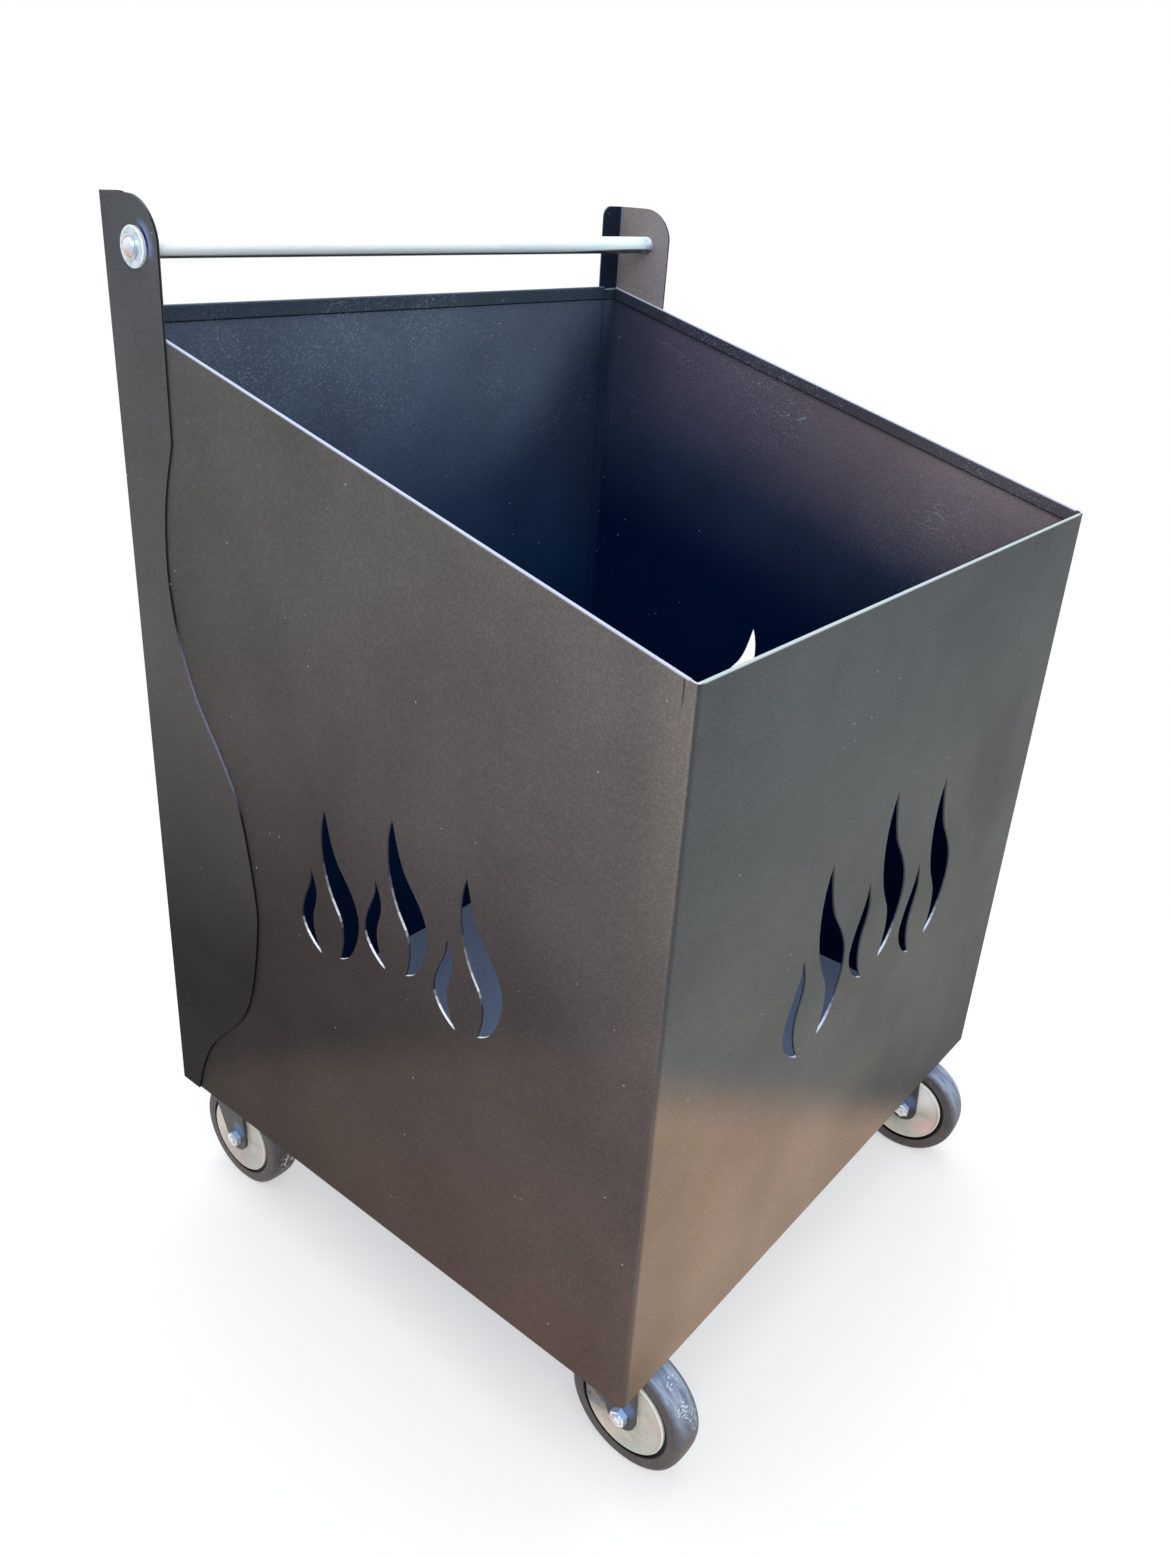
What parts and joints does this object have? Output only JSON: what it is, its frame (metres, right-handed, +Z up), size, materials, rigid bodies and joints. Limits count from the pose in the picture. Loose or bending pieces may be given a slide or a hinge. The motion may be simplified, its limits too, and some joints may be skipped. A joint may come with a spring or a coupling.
{
  "type": "log cart",
  "caption": "Open steel log cart for the fireside: a sloping box with flame-shaped cut-outs, a round push handle between two back brackets, and swivel castors.",
  "frame": {"origin": "on the ground, under the middle of the cart's overall length and width", "axes": "+X to the right-hand side seen from the front, +Y from the front to the handle at the back, +Z up"},
  "size_m": [0.4654, 0.4363, 0.683],
  "materials": {
    "side_sheet": "satin powder coat, fine texture",
    "back_sheet": "satin powder coat, fine texture",
    "floor_sheet": "satin powder coat, fine texture",
    "bracket_steel": "satin powder coat",
    "bar_metal": "satin",
    "bolt_zinc": "bright zinc",
    "nut_zinc": "bright zinc",
    "caster_steel": "satin black",
    "stem_steel": "bright zinc",
    "ball_steel": "polished",
    "fork_steel": "satin black",
    "sleeve_steel": "satin",
    "axle_zinc": "bright zinc",
    "hub_plastic": "matt, light grey",
    "tyre_rubber": "satin rubber"
  },
  "bodies": {
    "cart": {"body_wrap": "side_sheet", "back_panel": "back_sheet", "floor_tray": "floor_sheet", "left_bracket": "bracket_steel", "right_bracket": "bracket_steel", "handle_bar": "bar_metal", "handle_bolts": "bolt_zinc", "handle_washers": "bolt_zinc", "stem_nuts": "nut_zinc", "stem_washers": "nut_zinc", "front_left_head": "caster_steel", "front_left_stem": "stem_steel", "front_left_balls": "ball_steel", "front_right_head": "caster_steel", "front_right_stem": "stem_steel", "front_right_balls": "ball_steel", "back_left_head": "caster_steel", "back_left_stem": "stem_steel", "back_left_balls": "ball_steel", "back_right_head": "caster_steel", "back_right_stem": "stem_steel", "back_right_balls": "ball_steel"},
    "front_left_swivel": {"front_left_fork": "fork_steel", "front_left_sleeve": "sleeve_steel", "front_left_axle_bolt": "axle_zinc", "front_left_axle_nut": "axle_zinc"},
    "front_left_wheel": {"front_left_hub": "hub_plastic", "front_left_tyre": "tyre_rubber"},
    "front_right_swivel": {"front_right_fork": "fork_steel", "front_right_sleeve": "sleeve_steel", "front_right_axle_bolt": "axle_zinc", "front_right_axle_nut": "axle_zinc"},
    "front_right_wheel": {"front_right_hub": "hub_plastic", "front_right_tyre": "tyre_rubber"},
    "back_left_swivel": {"back_left_fork": "fork_steel", "back_left_sleeve": "sleeve_steel", "back_left_axle_bolt": "axle_zinc", "back_left_axle_nut": "axle_zinc"},
    "back_left_wheel": {"back_left_hub": "hub_plastic", "back_left_tyre": "tyre_rubber"},
    "back_right_swivel": {"back_right_fork": "fork_steel", "back_right_sleeve": "sleeve_steel", "back_right_axle_bolt": "axle_zinc", "back_right_axle_nut": "axle_zinc"},
    "back_right_wheel": {"back_right_hub": "hub_plastic", "back_right_tyre": "tyre_rubber"}
  },
  "joints": [
    {"name": "front_left_turn", "type": "hinge", "parent": "cart", "child": "front_left_swivel", "pos_m": [-0.183, -0.169, 0.089], "axis": [0, 0, 1], "continuous": true},
    {"name": "front_left_roll", "type": "hinge", "parent": "front_left_swivel", "child": "front_left_wheel", "pos_m": [-0.183, -0.177, 0.041], "axis": [1, 0, 0], "continuous": true},
    {"name": "front_right_turn", "type": "hinge", "parent": "cart", "child": "front_right_swivel", "pos_m": [0.183, -0.169, 0.089], "axis": [0, 0, 1], "continuous": true},
    {"name": "front_right_roll", "type": "hinge", "parent": "front_right_swivel", "child": "front_right_wheel", "pos_m": [0.18397, -0.17694, 0.041], "axis": [0.9925, 0.1219, 0], "continuous": true},
    {"name": "back_left_turn", "type": "hinge", "parent": "cart", "child": "back_left_swivel", "pos_m": [-0.195, 0.185, 0.089], "axis": [0, 0, 1], "continuous": true},
    {"name": "back_left_roll", "type": "hinge", "parent": "back_left_swivel", "child": "back_left_wheel", "pos_m": [-0.195, 0.177, 0.041], "axis": [1, 0, 0], "continuous": true},
    {"name": "back_right_turn", "type": "hinge", "parent": "cart", "child": "back_right_swivel", "pos_m": [0.195, 0.185, 0.089], "axis": [0, 0, 1], "continuous": true},
    {"name": "back_right_roll", "type": "hinge", "parent": "back_right_swivel", "child": "back_right_wheel", "pos_m": [0.19416, 0.17704, 0.041], "axis": [0.9945, -0.1045, 0], "continuous": true}
  ]
}
